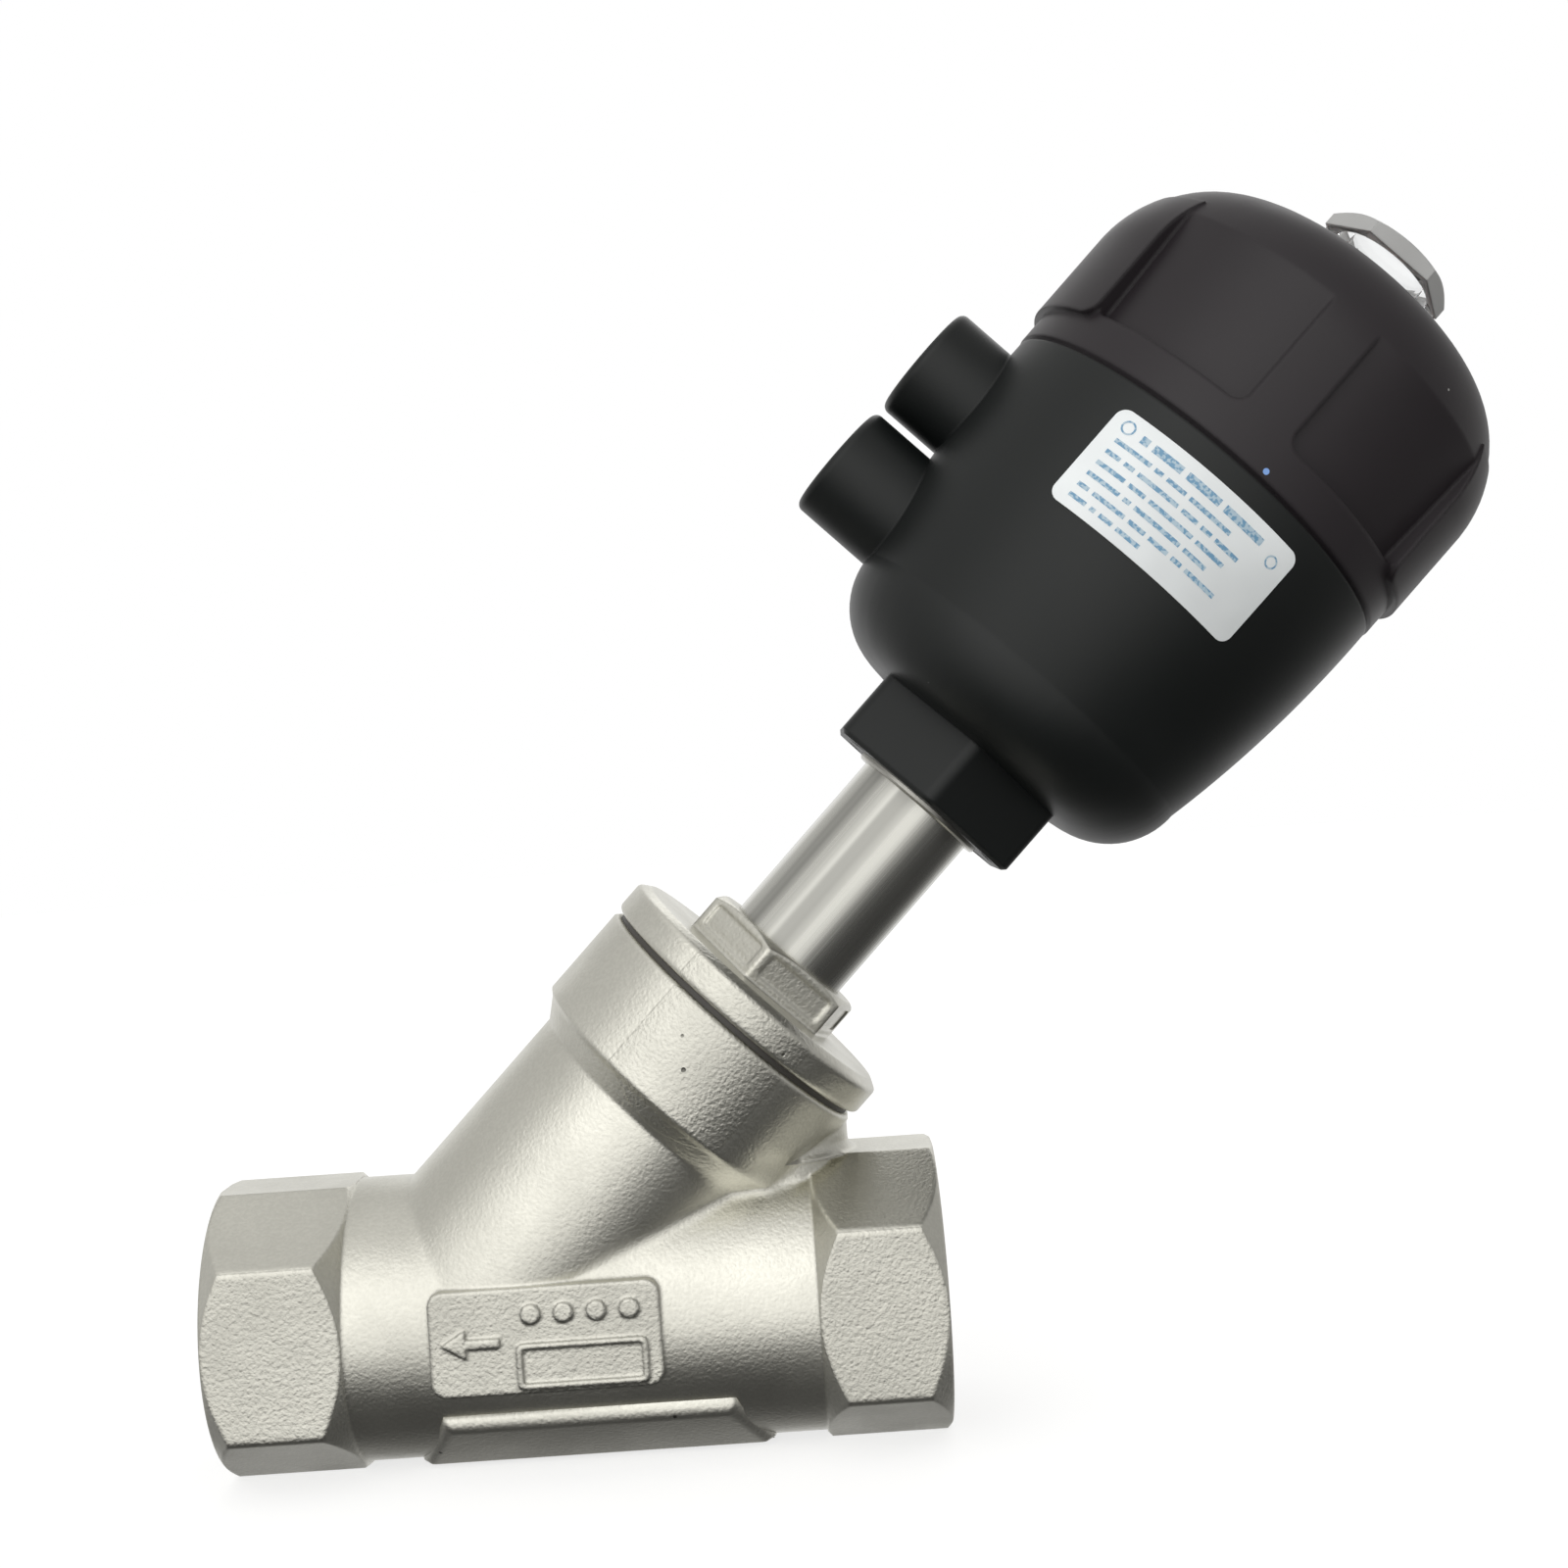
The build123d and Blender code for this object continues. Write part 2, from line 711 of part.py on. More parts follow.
# ---------------------------------------------------------------- actuator housing
def bulb(growth=0.0):
    """Outer form of the housing above its hexagon; growth adds a skin all over."""
    bend = bulb_lower_radius - bulb_corner_radius
    bend_height = bulb_bottom + bulb_corner_radius
    reach = bulb_corner_radius + growth
    diagonal = reach * cos(radians(45))
    corner_line = ThreePointArc(
        (bend, bend_height - reach),
        (bend + diagonal, bend_height - diagonal),
        (bend + reach, bend_height),
    )
    side_line = ThreePointArc(
        (bend + reach, bend_height),
        (bulb_middle_radius + growth, (bend_height + seam_height) / 2),
        (rim_radius + growth, seam_height),
    )
    base_line = Polyline((0, seam_height), (0, bend_height - reach), (bend, bend_height - reach))
    top_line = Line((rim_radius + growth, seam_height), (0, seam_height))
    return revolve(Plane.XZ * make_face([base_line, corner_line, side_line, top_line]), Axis.Z)


def port_boss(height):
    """Round boss for an air port, square to the stem, with a rounded end."""
    r = port_boss_rounding
    start = bulb_lower_radius - 4
    half = port_boss_radius
    diagonal = r * (1 - cos(radians(45)))
    edge = ThreePointArc(
        (half, port_boss_reach - r),
        (half - diagonal, port_boss_reach - diagonal),
        (half - r, port_boss_reach),
    )
    face = make_face([
        Polyline((0, port_boss_reach), (0, start), (half, start), (half, port_boss_reach - r)),
        edge,
        Line((half - r, port_boss_reach), (0, port_boss_reach)),
    ])
    boss = revolve(Plane.XZ * face, Axis.Z)
    return Pos(0, 0, height) * Rot(0, -90, 0) * boss


def port_drill(height, radius, start, end):
    """Radial hole of an air port, as a cutter between two distances from the stem."""
    return Pos(0, 0, height) * Rot(0, -90, 0) * rod(radius, start, end)


def make_housing():
    hexagon_top = bulb_bottom + 3
    wrench = hexagon(hexagon_across_flats, hexagon_bottom, hexagon_top, 30)
    wrench = fillet(wrench.edges().filter_by(Axis.Z), hexagon_corner_radius)
    wrench = chamfer(wrench.edges().group_by(Axis.Z)[0], hexagon_edge_chamfer)
    body = bulb() + wrench
    for height in (control_port_height, vent_port_height):
        body += port_boss(height)
    body -= rod(cylinder_radius, cylinder_floor, seam_height + 1)
    body -= rod(cover_recess_radius, seam_height - cover_recess_depth, seam_height + 1)
    for height in (control_port_height, vent_port_height):
        depth = port_boss_reach - port_insert_length - port_insert_sink
        body -= port_drill(height, port_insert_radius, depth, port_boss_reach + 1)
    control_channel = piston_rest_height - control_channel_radius - channel_margin
    vent_channel = piston_rest_top + stroke + vent_channel_radius + channel_margin
    channel_end = port_boss_reach - port_insert_length
    start = cylinder_radius - 3
    body -= port_drill(control_channel, control_channel_radius, start, channel_end)
    body -= port_drill(vent_channel, vent_channel_radius, start, channel_end)
    slot = SlotOverall(pocket_length, pocket_width, rotation=90)
    pocket_circle_radius = (hexagon_across_flats - pocket_width) / 2 - pocket_wall
    for angle in range(30, 390, 60):
        pocket = extrude(Pos(pocket_circle_radius, 0) * slot, amount=pocket_depth)
        body -= Rot(0, 0, angle) * Pos(0, 0, hexagon_bottom) * pocket
    shoulder = hexagon_bottom + insert_shoulder
    body -= rod(insert_rim_radius, hexagon_bottom - 1, shoulder + 1)
    body -= rod(insert_radius, shoulder, insert_top)
    seal_half = rod_seal_section / 2
    seal_outer = spindle_radius + running_clearance + rod_seal_section
    body -= rod(spindle_radius + swivel_gap, insert_top - 1, cylinder_floor + 1)
    body -= rod(seal_outer, rod_seal_height - seal_half, rod_seal_height + seal_half)
    bush_outer = spindle_radius + running_clearance + rod_bush_wall
    body -= rod(bush_outer, rod_seal_height + seal_half, cylinder_floor + 1)
    return body


def make_housing_insert():
    """Metal bush in the hexagon, which turns on the bonnet tube."""
    shoulder = hexagon_bottom + insert_shoulder
    rim_bottom = hexagon_bottom - insert_rim_height
    bush = turned(
        (0, rim_bottom),
        (insert_rim_radius - 0.4, rim_bottom),
        (insert_rim_radius - assembly_clearance, rim_bottom + 0.4),
        (insert_rim_radius - assembly_clearance, shoulder),
        (insert_radius - assembly_clearance, shoulder),
        (insert_radius - assembly_clearance, insert_top),
        (0, insert_top),
    )
    bush -= rod(tube_radius + running_clearance, rim_bottom - 1, tube_top + swivel_gap)
    return bush - rod(spindle_radius + swivel_gap, tube_top, insert_top + 1)


def port_insert(height):
    """Threaded metal insert of an air port."""
    outer_end = port_boss_reach - port_insert_sink
    inner_end = outer_end - port_insert_length
    body = port_drill(height, port_insert_radius - assembly_clearance, inner_end, outer_end)
    lead_in = Pos(0, 0, height) * Rot(0, -90, 0) * turned(
        (0, outer_end - 0.8), (air_thread_radius, outer_end - 0.8),
        (air_thread_radius + 0.8, outer_end), (air_thread_radius + 0.8, outer_end + 1),
        (0, outer_end + 1),
    )
    body -= port_drill(height, air_thread_radius, inner_end - 1, outer_end + 1)
    return body - lead_in


def make_label():
    """Thin label that follows the front of the housing."""
    blank = RectangleRounded(label_length, label_height, label_corner_radius)
    front = Plane(origin=(0, 0, label_middle), x_dir=(1, 0, 0), z_dir=(0, -1, 0))
    return (bulb(label_thickness) - bulb()) & extrude(front * blank, amount=BIG / 4)


# ---------------------------------------------------------------- cover
def cover_form():
    """Outer form of the cover without its lugs and windows."""
    side = cover_side_radius
    bend = side - shoulder_radius
    bend_height = cover_top - shoulder_radius
    diagonal = shoulder_radius * cos(radians(45))
    shoulder = ThreePointArc(
        (side, bend_height), (bend + diagonal, bend_height + diagonal), (bend, cover_top)
    )
    up = Polyline(
        (0, seam_height), (rim_radius - seam_groove, seam_height),
        (rim_radius - seam_groove, seam_height + seam_groove),
        (side, seam_height + seam_groove * 1.6), (side, bend_height),
    )
    over = Polyline((bend, cover_top), (cap_land_radius, cover_land), (0, cover_land), (0, seam_height))
    return revolve(Plane.XZ * make_face([up, shoulder, over]), Axis.Z)


def side_lug():
    """Raised grip on the cover's inlet side, with rounded lower corners."""
    head_radius = lug_radius - lug_head_set_back
    inner = head_radius - lug_root
    line = [
        Polyline(
            (inner, lug_top), (inner, lug_bottom), (lug_radius, lug_bottom),
            (lug_radius, lug_side_top),
        ),
        ThreePointArc(
            (lug_radius, lug_side_top), (lug_radius - lug_shoulder_set_back, lug_shoulder_top),
            (head_radius, lug_top),
        ),
        Line((head_radius, lug_top), (inner, lug_top)),
    ]
    turn = Rot(0, 0, -lug_span / 2)
    lug = turn * revolve(Plane.XZ * make_face(line), Axis.Z, lug_span)
    low_face = lug.faces().sort_by(Axis.Z)[0]
    corners = low_face.edges().filter_by(GeomType.LINE)
    return fillet(corners, lug_corner_radius)


def window_cutter():
    """Room of one window between the front rib and the inlet-side lug."""
    far_side = 90 - lug_span / 2 + 1
    span = far_side - window_near_side
    reach = lug_radius + 6
    low = cover_side_radius - window_bottom_depth
    high = cover_side_radius - window_top_depth
    over = 6.0
    slope = (high - low) / window_height * over
    face = outline(
        (low, window_bottom), (reach, window_bottom),
        (reach, window_top + over), (high + slope, window_top + over),
    )
    block = Rot(0, 0, window_near_side - 90) * revolve(Plane.XZ * face, Axis.Z, span)
    low_face = block.faces().sort_by(Axis.Z)[0]
    return fillet(low_face.edges().filter_by(GeomType.LINE), window_corner_radius)


def cover_cavity():
    """Inside of the cover, with a rounded ceiling corner."""
    wall = cover_bore_radius
    bend = wall - ceiling_corner_radius
    bend_height = ceiling_height - ceiling_corner_radius
    diagonal = ceiling_corner_radius * cos(radians(45))
    corner = ThreePointArc(
        (wall, bend_height), (bend + diagonal, bend_height + diagonal), (bend, ceiling_height)
    )
    up = Polyline((0, seam_height), (wall, seam_height), (wall, bend_height))
    over = Polyline((bend, ceiling_height), (0, ceiling_height), (0, seam_height))
    return revolve(Plane.XZ * make_face([up, corner, over]), Axis.Z)


def make_cover():
    cover = cover_form()
    window = window_cutter()
    for half_turn in (0, 180):
        cover -= Rot(0, 0, half_turn) * (window + mirror(window, Plane.YZ))
    lug = side_lug()
    cover += lug + mirror(lug, Plane.YZ)
    cover -= cover_cavity()
    spigot_top = seam_height + 4
    spigot_low = seam_height - cover_recess_depth + 0.4
    spigot_outer = cover_recess_radius - assembly_clearance
    spigot_inner = cylinder_radius + 0.5
    cover += sleeve(spigot_inner, spigot_outer, spigot_low, spigot_top)
    groove_middle = seam_height - cover_recess_depth / 2
    half = cover_seal_section / 2
    cover -= sleeve(
        spigot_outer - cover_seal_section, BIG / 2, groove_middle - half, groove_middle + half
    )
    return cover - rod(cap_thread_radius, ceiling_height - 1, cover_land + 1)


# ---------------------------------------------------------------- indicator cap
def make_indicator_cap():
    skirt = cap_thread_radius - assembly_clearance
    cap = rod(skirt, cover_land - cap_skirt_length, cap_hex_bottom + 1)
    cap += hexagon(cap_across_flats, cap_hex_bottom, cap_hex_top)
    cap += rod(cap_collar_radius, cap_hex_top - 1, cap_top - 0.3)
    return cap - rod(cap_bore_radius, cover_land - cap_skirt_length - 1, cap_ceiling)


def make_cap_band():
    across = cap_across_flats + 2 * cap_band_lip
    band = hexagon(across, cap_hex_top, cap_top) & cone_trim(across, cap_hex_top, cap_top)
    return band - rod(cap_collar_radius + assembly_clearance, cap_hex_top - 1, cap_top + 1)


def make_actuator():
    pieces["actuator_housing"] = make_housing()
    pieces["housing_insert"] = make_housing_insert()
    seal_middle = spindle_radius + running_clearance + rod_seal_section / 2
    pieces["rod_seal"] = o_ring(seal_middle, rod_seal_section, rod_seal_height)
    bush_inner = spindle_radius + running_clearance
    bush_low = rod_seal_height + rod_seal_section / 2
    pieces["rod_bush"] = sleeve(
        bush_inner, bush_inner + rod_bush_wall - assembly_clearance, bush_low, cylinder_floor
    )
    pieces["control_port_insert"] = port_insert(control_port_height)
    pieces["vent_port_insert"] = port_insert(vent_port_height)
    pieces["label"] = make_label()
    pieces["actuator_cover"] = make_cover()
    cover_seal_middle = cover_recess_radius - assembly_clearance - cover_seal_section / 2
    pieces["cover_seal"] = o_ring(
        cover_seal_middle, cover_seal_section, seam_height - cover_recess_depth / 2
    )
    pieces["outer_spring"] = compression_spring(
        outer_spring_radius, outer_spring_wire, spring_bottom, seat_plate_bottom,
        outer_spring_turns,
    )
    pieces["inner_spring"] = compression_spring(
        inner_spring_radius, inner_spring_wire, spring_bottom, seat_plate_bottom,
        inner_spring_turns,
    )
    pieces["spring_seat"] = sleeve(
        cap_thread_radius, spring_seat_radius, seat_plate_bottom, ceiling_height
    )
    pieces["cap_seal"] = sleeve(
        cap_thread_radius + 0.1, cap_across_flats / 2 - 0.2, cover_land, cap_hex_bottom
    )
    pieces["indicator_cap"] = make_indicator_cap()
    pieces["cap_band"] = make_cap_band()


# ---------------------------------------------------------------- the assembly
pieces["body_gasket"] = sleeve(
    spigot_radius, branch_collar_radius - gasket_inset, branch_top, flange_bottom
)
pieces["bonnet"] = make_bonnet()
pieces["bonnet_tube"] = make_bonnet_tube()
make_packing()
make_stem()
make_actuator()
placed = {name: STEM.location * solid for name, solid in pieces.items()}
placed["valve_body"] = make_valve_body()

os.makedirs("parts", exist_ok=True)
for name, solid in placed.items():
    solid.label = name
    export_step(solid, f"parts/{name}.step")
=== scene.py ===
"""Studio view of a pneumatic angle seat valve.

Gives every solid its finish, and adds what the solids leave out: the thread ridges in the ports,
the two closing springs, the cast boss under the pipe, the print on the label and a paint dot.
Lengths are named in millimetres and times MM in metres. STEM is the stem's own frame: its origin is
the stem's foot, Z runs up the stem, X across the front and -Y faces the front.
"""
import json
import math

import bmesh
import bpy
from mathutils import Matrix, Vector
from mathutils.bvhtree import BVHTree


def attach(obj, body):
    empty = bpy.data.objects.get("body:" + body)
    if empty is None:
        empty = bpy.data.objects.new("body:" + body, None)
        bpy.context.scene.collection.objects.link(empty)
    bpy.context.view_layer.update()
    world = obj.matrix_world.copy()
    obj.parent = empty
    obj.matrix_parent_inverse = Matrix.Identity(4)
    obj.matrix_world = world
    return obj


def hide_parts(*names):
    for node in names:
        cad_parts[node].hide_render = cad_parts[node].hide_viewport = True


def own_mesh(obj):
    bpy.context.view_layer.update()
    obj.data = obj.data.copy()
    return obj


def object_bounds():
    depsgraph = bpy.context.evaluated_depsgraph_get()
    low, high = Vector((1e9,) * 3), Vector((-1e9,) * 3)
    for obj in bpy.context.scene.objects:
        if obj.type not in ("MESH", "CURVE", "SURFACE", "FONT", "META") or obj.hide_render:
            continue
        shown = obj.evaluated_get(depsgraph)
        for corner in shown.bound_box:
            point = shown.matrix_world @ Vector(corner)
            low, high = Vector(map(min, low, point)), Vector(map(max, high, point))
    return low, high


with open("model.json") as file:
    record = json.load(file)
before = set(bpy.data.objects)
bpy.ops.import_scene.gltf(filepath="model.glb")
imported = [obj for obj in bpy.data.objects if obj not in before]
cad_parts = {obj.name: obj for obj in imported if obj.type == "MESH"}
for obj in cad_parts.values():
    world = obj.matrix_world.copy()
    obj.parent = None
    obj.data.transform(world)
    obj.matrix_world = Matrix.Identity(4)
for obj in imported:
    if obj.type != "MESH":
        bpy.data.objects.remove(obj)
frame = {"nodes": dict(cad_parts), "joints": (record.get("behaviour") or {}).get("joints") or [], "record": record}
cad_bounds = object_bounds()
cad_nodes = frame["nodes"]
MM = 0.001

# ---------------------------------------------------------------- places
swivel = next(j for j in frame["joints"] if j["name"] == "actuator_swivel")
mounts = {m["name"]: m for m in frame["record"]["mounts"]}
STEM_FOOT = Vector(swivel["pos_m"])
STEM_AXIS = Vector(swivel["axis"]).normalized()
STEM_SIDE = Vector((0, 1, 0)).cross(STEM_AXIS)


def placed(origin, z_axis, x_axis):
    """Matrix that puts a shape made about Z at an origin, along z_axis."""
    z = Vector(z_axis).normalized()
    x = Vector(x_axis).normalized()
    turn = Matrix((x, z.cross(x), z)).transposed().to_4x4()
    return Matrix.Translation(Vector(origin)) @ turn


STEM = placed(STEM_FOOT, STEM_AXIS, STEM_SIDE)
FACE_FRONT = Matrix.Rotation(math.radians(90), 4, "X")


def in_stem_frame(node):
    """A node's points in the stem's own frame."""
    return [STEM.inverted() @ vert.co for vert in cad_nodes[node].data.vertices]


# ---------------------------------------------------------------- node helpers
def add(tree, kind, inputs=None, **settings):
    """One shader node with its settings, and its sockets set or joined."""
    node = tree.nodes.new("ShaderNode" + kind)
    for key, value in settings.items():
        setattr(node, key, value)
    for key, value in (inputs or {}).items():
        if isinstance(value, bpy.types.NodeSocket):
            tree.links.new(value, node.inputs[key])
        else:
            node.inputs[key].default_value = value
    return node


def math_node(tree, operation, a, b=0.0):
    return add(tree, "Math", {0: a, 1: b}, operation=operation).outputs[0]


def times(tree, a, b):
    return math_node(tree, "MULTIPLY", a, b)


def band(tree, value, start, full, ease, end):
    """Mask that is 1 from full to ease, and falls smoothly to 0 at start and end."""
    return times(tree, ramp(tree, value, start, full), ramp(tree, value, ease, end, 1.0, 0.0))


def shade(colour, share=1.0):
    """Colour with its alpha, made darker or lighter by a share."""
    return (*[channel * share for channel in colour], 1.0)


def ramp(tree, value, low, high, to_low=0.0, to_high=1.0):
    """Smooth change from one number to another while value goes from low to high."""
    node = add(
        tree, "MapRange",
        {"Value": value, "From Min": low, "From Max": high, "To Min": to_low, "To Max": to_high},
        interpolation_type="SMOOTHSTEP",
    )
    return node.outputs["Result"]


def blend_colour(tree, factor, a, b):
    """Colour a where the factor is 0, and b where it is 1."""
    node = add(tree, "Mix", {0: factor, 6: a, 7: b}, data_type="RGBA")
    return node.outputs[2]


def noise(tree, vector, scale, detail=2.0, roughness=0.5):
    return add(
        tree, "TexNoise",
        {"Vector": vector, "Scale": scale, "Detail": detail, "Roughness": roughness},
    ).outputs["Fac"]


def cells(tree, vector, scale, feature="F1"):
    return add(tree, "TexVoronoi", {"Vector": vector, "Scale": scale}, feature=feature)


def new_group(name, inputs, outputs):
    """Shader node group with named sockets; inputs are (name, kind, value)."""
    tree = bpy.data.node_groups.new(name, "ShaderNodeTree")
    for label, kind, value in inputs:
        socket = tree.interface.new_socket(label, in_out="INPUT", socket_type="NodeSocket" + kind)
        if value is not None:
            socket.default_value = value
    for label in outputs:
        tree.interface.new_socket(label, in_out="OUTPUT", socket_type="NodeSocketFloat")
    return tree, tree.nodes.new("NodeGroupInput").outputs, tree.nodes.new("NodeGroupOutput").inputs


def place_group(tree, group, **values):
    """The group's node in a material, with its own values; returns its outputs."""
    node = add(tree, "Group", node_tree=group)
    for key, value in values.items():
        if isinstance(value, bpy.types.NodeSocket):
            tree.links.new(value, node.inputs[key])
        else:
            node.inputs[key].default_value = value
    return node.outputs


def grit_group():
    """Pebbly skin of a blasted casting, with its stains and its few pinholes."""
    tree, given, gives = new_group(
        "Casting Grit",
        [("Vector", "Vector", None), ("Grains", "Float", 1000.0), ("Pinholes", "Float", 1.0)],
        ["Height", "Stain", "Pit"],
    )
    vector, grains = given["Vector"], given["Grains"]
    lumps = noise(tree, vector, grains, 2.0, 0.55)
    pebble = cells(tree, vector, times(tree, grains, 0.9), "SMOOTH_F1")
    pebbles = math_node(tree, "SUBTRACT", 1.0, pebble.outputs["Distance"])
    height = math_node(tree, "ADD", times(tree, lumps, 0.62), times(tree, pebbles, 0.38))
    stain = ramp(tree, noise(tree, vector, 38.0, 4.0, 0.6), 0.3, 0.72)
    hole = cells(tree, vector, 150.0)
    spot = ramp(tree, hole.outputs["Distance"], 0.035, 0.075, 1.0, 0.0)
    rare = ramp(tree, hole.outputs["Color"], 0.72, 0.76)
    pit = times(tree, times(tree, spot, rare), given["Pinholes"])
    tree.links.new(height, gives["Height"])
    tree.links.new(stain, gives["Stain"])
    tree.links.new(pit, gives["Pit"])
    return tree


def lines_group():
    """Fine tool or drawing lines; the vector is stretched along them beforehand."""
    tree, given, gives = new_group(
        "Tool Lines", [("Vector", "Vector", None), ("Lines", "Float", 1500.0)], ["Height", "Shine"]
    )
    vector, lines = given["Vector"], given["Lines"]
    fine = noise(tree, vector, lines, 3.0, 0.65)
    broad = noise(tree, vector, times(tree, lines, 0.22), 2.0, 0.5)
    height = math_node(tree, "ADD", times(tree, fine, 0.6), times(tree, broad, 0.4))
    tree.links.new(height, gives["Height"])
    tree.links.new(ramp(tree, broad, 0.3, 0.7), gives["Shine"])
    return tree


def moulding_group():
    """Fine texture of a moulded skin, with slow changes of gloss and a few specks of dust."""
    tree, given, gives = new_group(
        "Moulded Skin",
        [("Vector", "Vector", None), ("Texture", "Float", 2600.0), ("Specks", "Float", 1.0)],
        ["Height", "Cloud", "Dust"],
    )
    vector, texture = given["Vector"], given["Texture"]
    skin = noise(tree, vector, texture, 2.0, 0.5)
    cloud = ramp(tree, noise(tree, vector, 26.0, 3.0, 0.55), 0.3, 0.7)
    speck = cells(tree, vector, 120.0)
    dot = ramp(tree, speck.outputs["Distance"], 0.018, 0.036, 1.0, 0.0)
    rare = ramp(tree, speck.outputs["Color"], 0.8, 0.84)
    dust = times(tree, times(tree, dot, rare), given["Specks"])
    tree.links.new(skin, gives["Height"])
    tree.links.new(cloud, gives["Cloud"])
    tree.links.new(dust, gives["Dust"])
    return tree


GRIT = grit_group()
LINES = lines_group()
MOULDING = moulding_group()


# ---------------------------------------------------------------- finishes
FLAT_STARTS, FLAT_FULL = 25.15 * MM, 25.4 * MM    # from the pipe's axis to the coarse flats
CAST_EDGE = 1.1 * MM                              # rounding of the casting's edges
CROTCH_EXTRA = 2.4 * MM                           # added where the branch meets the pipe
CROTCH_HEIGHT = (9.5 * MM, 13 * MM, 26 * MM, 29 * MM)
CROTCH_LENGTH = (25 * MM, 28 * MM, 102 * MM, 105 * MM)
GRIT_DEPTH = 0.17 * MM
TURNED_EDGE = 0.3 * MM
DUST = (0.35, 0.35, 0.34, 1)


def new_finish(name, roughness=0.5, **sockets):
    """Material with a Principled shader; returns it, its tree and its shader's inputs."""
    material = bpy.data.materials.new(name)
    material.use_nodes = True
    tree = material.node_tree
    tree.nodes.clear()
    shader = add(tree, "BsdfPrincipled", {"Roughness": roughness})
    for key, value in sockets.items():
        shader.inputs[key.replace("_", " ")].default_value = value
    output = add(tree, "OutputMaterial")
    tree.links.new(shader.outputs[0], output.inputs["Surface"])
    return material, tree, shader.inputs


def object_point(tree):
    """Point in the model's frame, which every piece shares."""
    return add(tree, "TexCoord").outputs["Object"]


def along_stem(tree, across, along):
    """Point in the stem's own axes, scaled across and along it."""
    turn = STEM.inverted().to_euler()
    shifted = add(
        tree, "Mapping",
        {"Vector": object_point(tree), "Location": STEM.inverted().translation, "Rotation": turn},
    ).outputs[0]
    return add(tree, "Mapping", {"Vector": shifted, "Scale": (across, across, along)}).outputs[0]


def bump(tree, shader, height, distance, rounding=None, samples=4):
    """Surface relief, over edges that are rounded by a radius."""
    node = add(tree, "Bump", {"Height": height, "Distance": distance})
    if rounding is not None:
        soft = add(tree, "Bevel", {"Radius": rounding}, samples=samples)
        tree.links.new(soft.outputs[0], node.inputs["Normal"])
    tree.links.new(node.outputs[0], shader["Normal"])


def casting_finish(name, light, dark):
    """Blasted stainless casting; its flats have a coarser skin than its round parts, and painted shade makes them
    darker.
    """
    material, tree, shader = new_finish(name, 0.4, Metallic=1.0)
    point = object_point(tree)
    x, y, z = add(tree, "SeparateXYZ", {0: point}).outputs
    grit = place_group(tree, GRIT, Vector=point, Grains=1700.0, Pinholes=1.0)
    flat = ramp(tree, math_node(tree, "ABSOLUTE", y), FLAT_STARTS, FLAT_FULL)
    tone = blend_colour(tree, grit["Stain"], shade(light), shade(light, 0.9))
    speckle = ramp(tree, grit["Height"], 0.4, 0.62, 0.0, 0.16)
    tone = blend_colour(tree, speckle, tone, shade(dark))
    # painted shade: the flats are mixed 30 % of the way towards the dark colour
    tone = blend_colour(tree, times(tree, flat, 0.3), tone, shade(dark))
    tone = blend_colour(tree, grit["Pit"], tone, shade(dark, 0.35))
    tree.links.new(tone, shader["Base Color"])
    tree.links.new(ramp(tree, grit["Stain"], 0, 1, 0.33, 0.41), shader["Roughness"])
    relief = math_node(tree, "SUBTRACT", grit["Height"], times(tree, grit["Pit"], 0.9))
    relief = times(tree, relief, ramp(tree, flat, 0.0, 1.0, 0.55, 1.0))
    crotch = times(tree, band(tree, z, *CROTCH_HEIGHT), band(tree, x, *CROTCH_LENGTH))
    rounding = math_node(tree, "ADD", times(tree, crotch, CROTCH_EXTRA), CAST_EDGE)
    bump(tree, shader, relief, GRIT_DEPTH, rounding, 8)
    return material


def drawn_finish(name, colour, roughness, across, along, lines, depth, low=0.6):
    """Bright metal with fine lines, drawn out along the stem or around it by a small scale."""
    material, tree, shader = new_finish(name, roughness, Metallic=1.0)
    vector = along_stem(tree, across, along)
    made = place_group(tree, LINES, Vector=vector, Lines=lines)
    tone = blend_colour(tree, made["Shine"], shade(colour, low), shade(colour))
    tree.links.new(tone, shader["Base Color"])
    gloss = ramp(tree, made["Shine"], 0, 1, roughness * 1.35, roughness * 0.8)
    tree.links.new(gloss, shader["Roughness"])
    bump(tree, shader, made["Height"], depth, TURNED_EDGE)
    return material


def plastic_finish(name, colour, roughness, texture, depth, specks=1.0, rounding=None, **sockets):
    """Moulded plastic or rubber, in which slow clouds change the tone and the gloss."""
    material, tree, shader = new_finish(name, roughness, **sockets)
    made = place_group(tree, MOULDING, Vector=object_point(tree), Texture=texture, Specks=specks)
    tone = blend_colour(tree, made["Cloud"], shade(colour), shade(colour, 1.25))
    tone = blend_colour(tree, made["Dust"], tone, DUST)
    tree.links.new(tone, shader["Base Color"])
    gloss = ramp(tree, made["Cloud"], 0, 1, roughness * 0.93, roughness * 1.08)
    tree.links.new(gloss, shader["Roughness"])
    bump(tree, shader, made["Height"], depth, rounding)
    return material


def print_finish(name, colour, faded):
    """Ink that has gone on unevenly, in small broken strokes."""
    material, tree, shader = new_finish(name, 0.45)
    strokes = noise(tree, object_point(tree), 1500.0, 1.0, 0.5)
    tone = blend_colour(tree, ramp(tree, strokes, 0.42, 0.58), shade(colour), shade(faded))
    tree.links.new(tone, shader["Base Color"])
    bump(tree, shader, strokes, 0.004 * MM)
    return material


